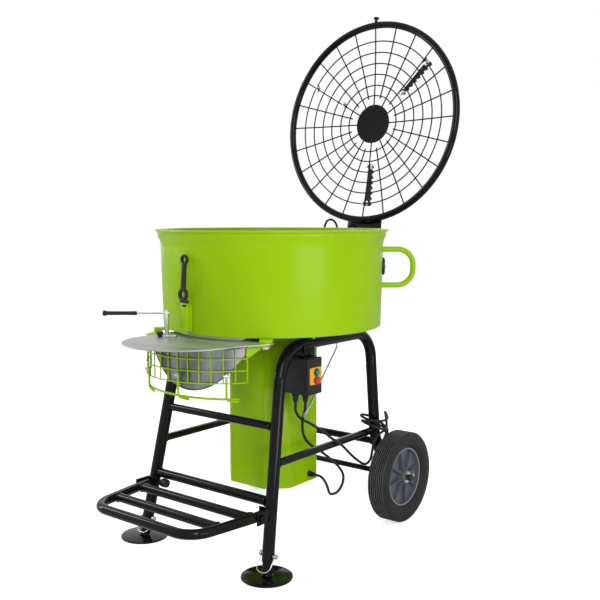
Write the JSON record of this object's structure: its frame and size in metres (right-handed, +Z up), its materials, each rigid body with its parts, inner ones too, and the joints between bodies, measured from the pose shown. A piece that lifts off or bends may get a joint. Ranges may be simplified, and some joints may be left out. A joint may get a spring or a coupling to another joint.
{
  "type": "concrete mixer",
  "caption": "Upright pan mixer for mortar and concrete on a wheeled tube frame, with a hinged wire lid, mixing rotor, swinging discharge gate and folding bucket rack.",
  "frame": {"origin": "middle of the machine's footprint on the floor, leads left out", "axes": "+Z up, -Y towards the discharge and bucket rack, +X towards the side with the switch box"},
  "size_m": [0.782, 1.282, 1.8353],
  "materials": {
    "green_coat": "gloss",
    "black_coat": "gloss",
    "steel": "worn",
    "zinc": "zinc plated",
    "rubber": "matte",
    "tyre": "matte",
    "black_plastic": "satin",
    "rim_grey": "satin",
    "cast_iron": "painted",
    "yellow": "gloss",
    "start_green": "gloss",
    "stop_red": "gloss"
  },
  "bodies": {
    "chassis": {"drum_shell": "green_coat", "motor_housing": "green_coat", "loop_handle_right": "green_coat", "loop_handle_left": "green_coat", "strap_bracket": "green_coat", "outlet_guard": "green_coat", "outlet_lug_right": "green_coat", "outlet_lug_left": "green_coat", "outlet_hoop": "green_coat", "side_frame_right": "black_coat", "side_frame_left": "black_coat", "front_bar_upper": "black_coat", "front_bar_lower": "black_coat", "rear_bar": "black_coat", "rack_ear_right": "black_coat", "rack_ear_left": "black_coat", "drum_hinge_bracket": "black_coat", "axle": "black_coat", "drum_floor": "steel", "chute_apron": "steel", "foot_pin_right": "zinc", "foot_pin_left": "zinc", "lead_stay": "zinc", "mains_lead": "rubber", "mains_coil": "rubber", "motor_lead": "rubber", "lid_switch": "black_plastic", "switch_box": "black_plastic", "contactor": "black_plastic", "mains_gland": "black_plastic", "motor_gland": "black_plastic", "plug": "black_plastic", "gearbox": "cast_iron", "motor": "cast_iron", "switch_panel": "yellow"},
    "rotor": {"rotor_shaft": "steel", "rotor_hub": "steel", "rotor_arm_1": "steel", "rotor_arm_2": "steel", "rotor_arm_3": "steel"},
    "wheel_right": {"tyre_right": "tyre", "wheel_rim_right": "rim_grey"},
    "wheel_left": {"tyre_left": "tyre", "wheel_rim_left": "rim_grey"},
    "lid": {"lid_ring": "black_coat", "lid_grid": "black_coat", "lid_disc": "black_coat", "bag_blade_1": "black_coat", "bag_blade_2": "black_coat", "bag_blade_3": "black_coat", "lid_hinge_plate": "black_coat"},
    "gate": {"gate_plate": "steel", "gate_lever": "zinc", "gate_grip": "black_plastic"},
    "rack": {"rack_frame": "black_coat"},
    "foot_right": {"foot_plate_right": "black_coat"},
    "foot_left": {"foot_plate_left": "black_coat"},
    "start": {"start_button": "start_green"},
    "stop": {"stop_button": "stop_red"},
    "strap": {"lid_strap": "rubber"}
  },
  "joints": [
    {"name": "lid_hinge", "type": "hinge", "parent": "chassis", "child": "lid", "pos_m": [0, 0.443, 0.977], "axis": [1, 0, 0], "range_deg": [0, 96.45]},
    {"name": "gate_pivot", "type": "hinge", "parent": "chassis", "child": "gate", "pos_m": [0.234, -0.331, 0.6934], "axis": [0, 0, 1], "range_deg": [0, 50]},
    {"name": "rotor_spin", "type": "hinge", "parent": "chassis", "child": "rotor", "pos_m": [0, -0.022, 0.713], "axis": [0, 0, 1], "continuous": true},
    {"name": "wheel_right_spin", "type": "hinge", "parent": "chassis", "child": "wheel_right", "pos_m": [0.3175, 0.296, 0.158], "axis": [1, 0, 0], "continuous": true},
    {"name": "wheel_left_spin", "type": "hinge", "parent": "chassis", "child": "wheel_left", "pos_m": [-0.3175, 0.296, 0.158], "axis": [1, 0, 0], "continuous": true},
    {"name": "rack_fold", "type": "hinge", "parent": "chassis", "child": "rack", "pos_m": [0, -0.392, 0.185], "axis": [-1, 0, 0], "range_deg": [0, 85]},
    {"name": "foot_right_slide", "type": "slide", "parent": "chassis", "child": "foot_right", "axis": [0.0696, -0.1906, -0.9792], "range_m": [0, 0.08]},
    {"name": "foot_left_slide", "type": "slide", "parent": "chassis", "child": "foot_left", "axis": [-0.0696, -0.1906, -0.9792], "range_m": [0, 0.08]},
    {"name": "start_press", "type": "slide", "parent": "chassis", "child": "start", "axis": [-1, 0, 0], "range_m": [0, 0.004], "stiffness_N_per_m": 500},
    {"name": "stop_press", "type": "slide", "parent": "chassis", "child": "stop", "axis": [-1, 0, 0], "range_m": [0, 0.004], "stiffness_N_per_m": 500},
    {"name": "strap_flex", "type": "hinge", "parent": "chassis", "child": "strap", "pos_m": [-0.02714, -0.41014, 0.8113], "axis": [0.9976, -0.0698, 0], "range_deg": [0, 75], "stiffness_Nm_per_rad": 0.3}
  ]
}
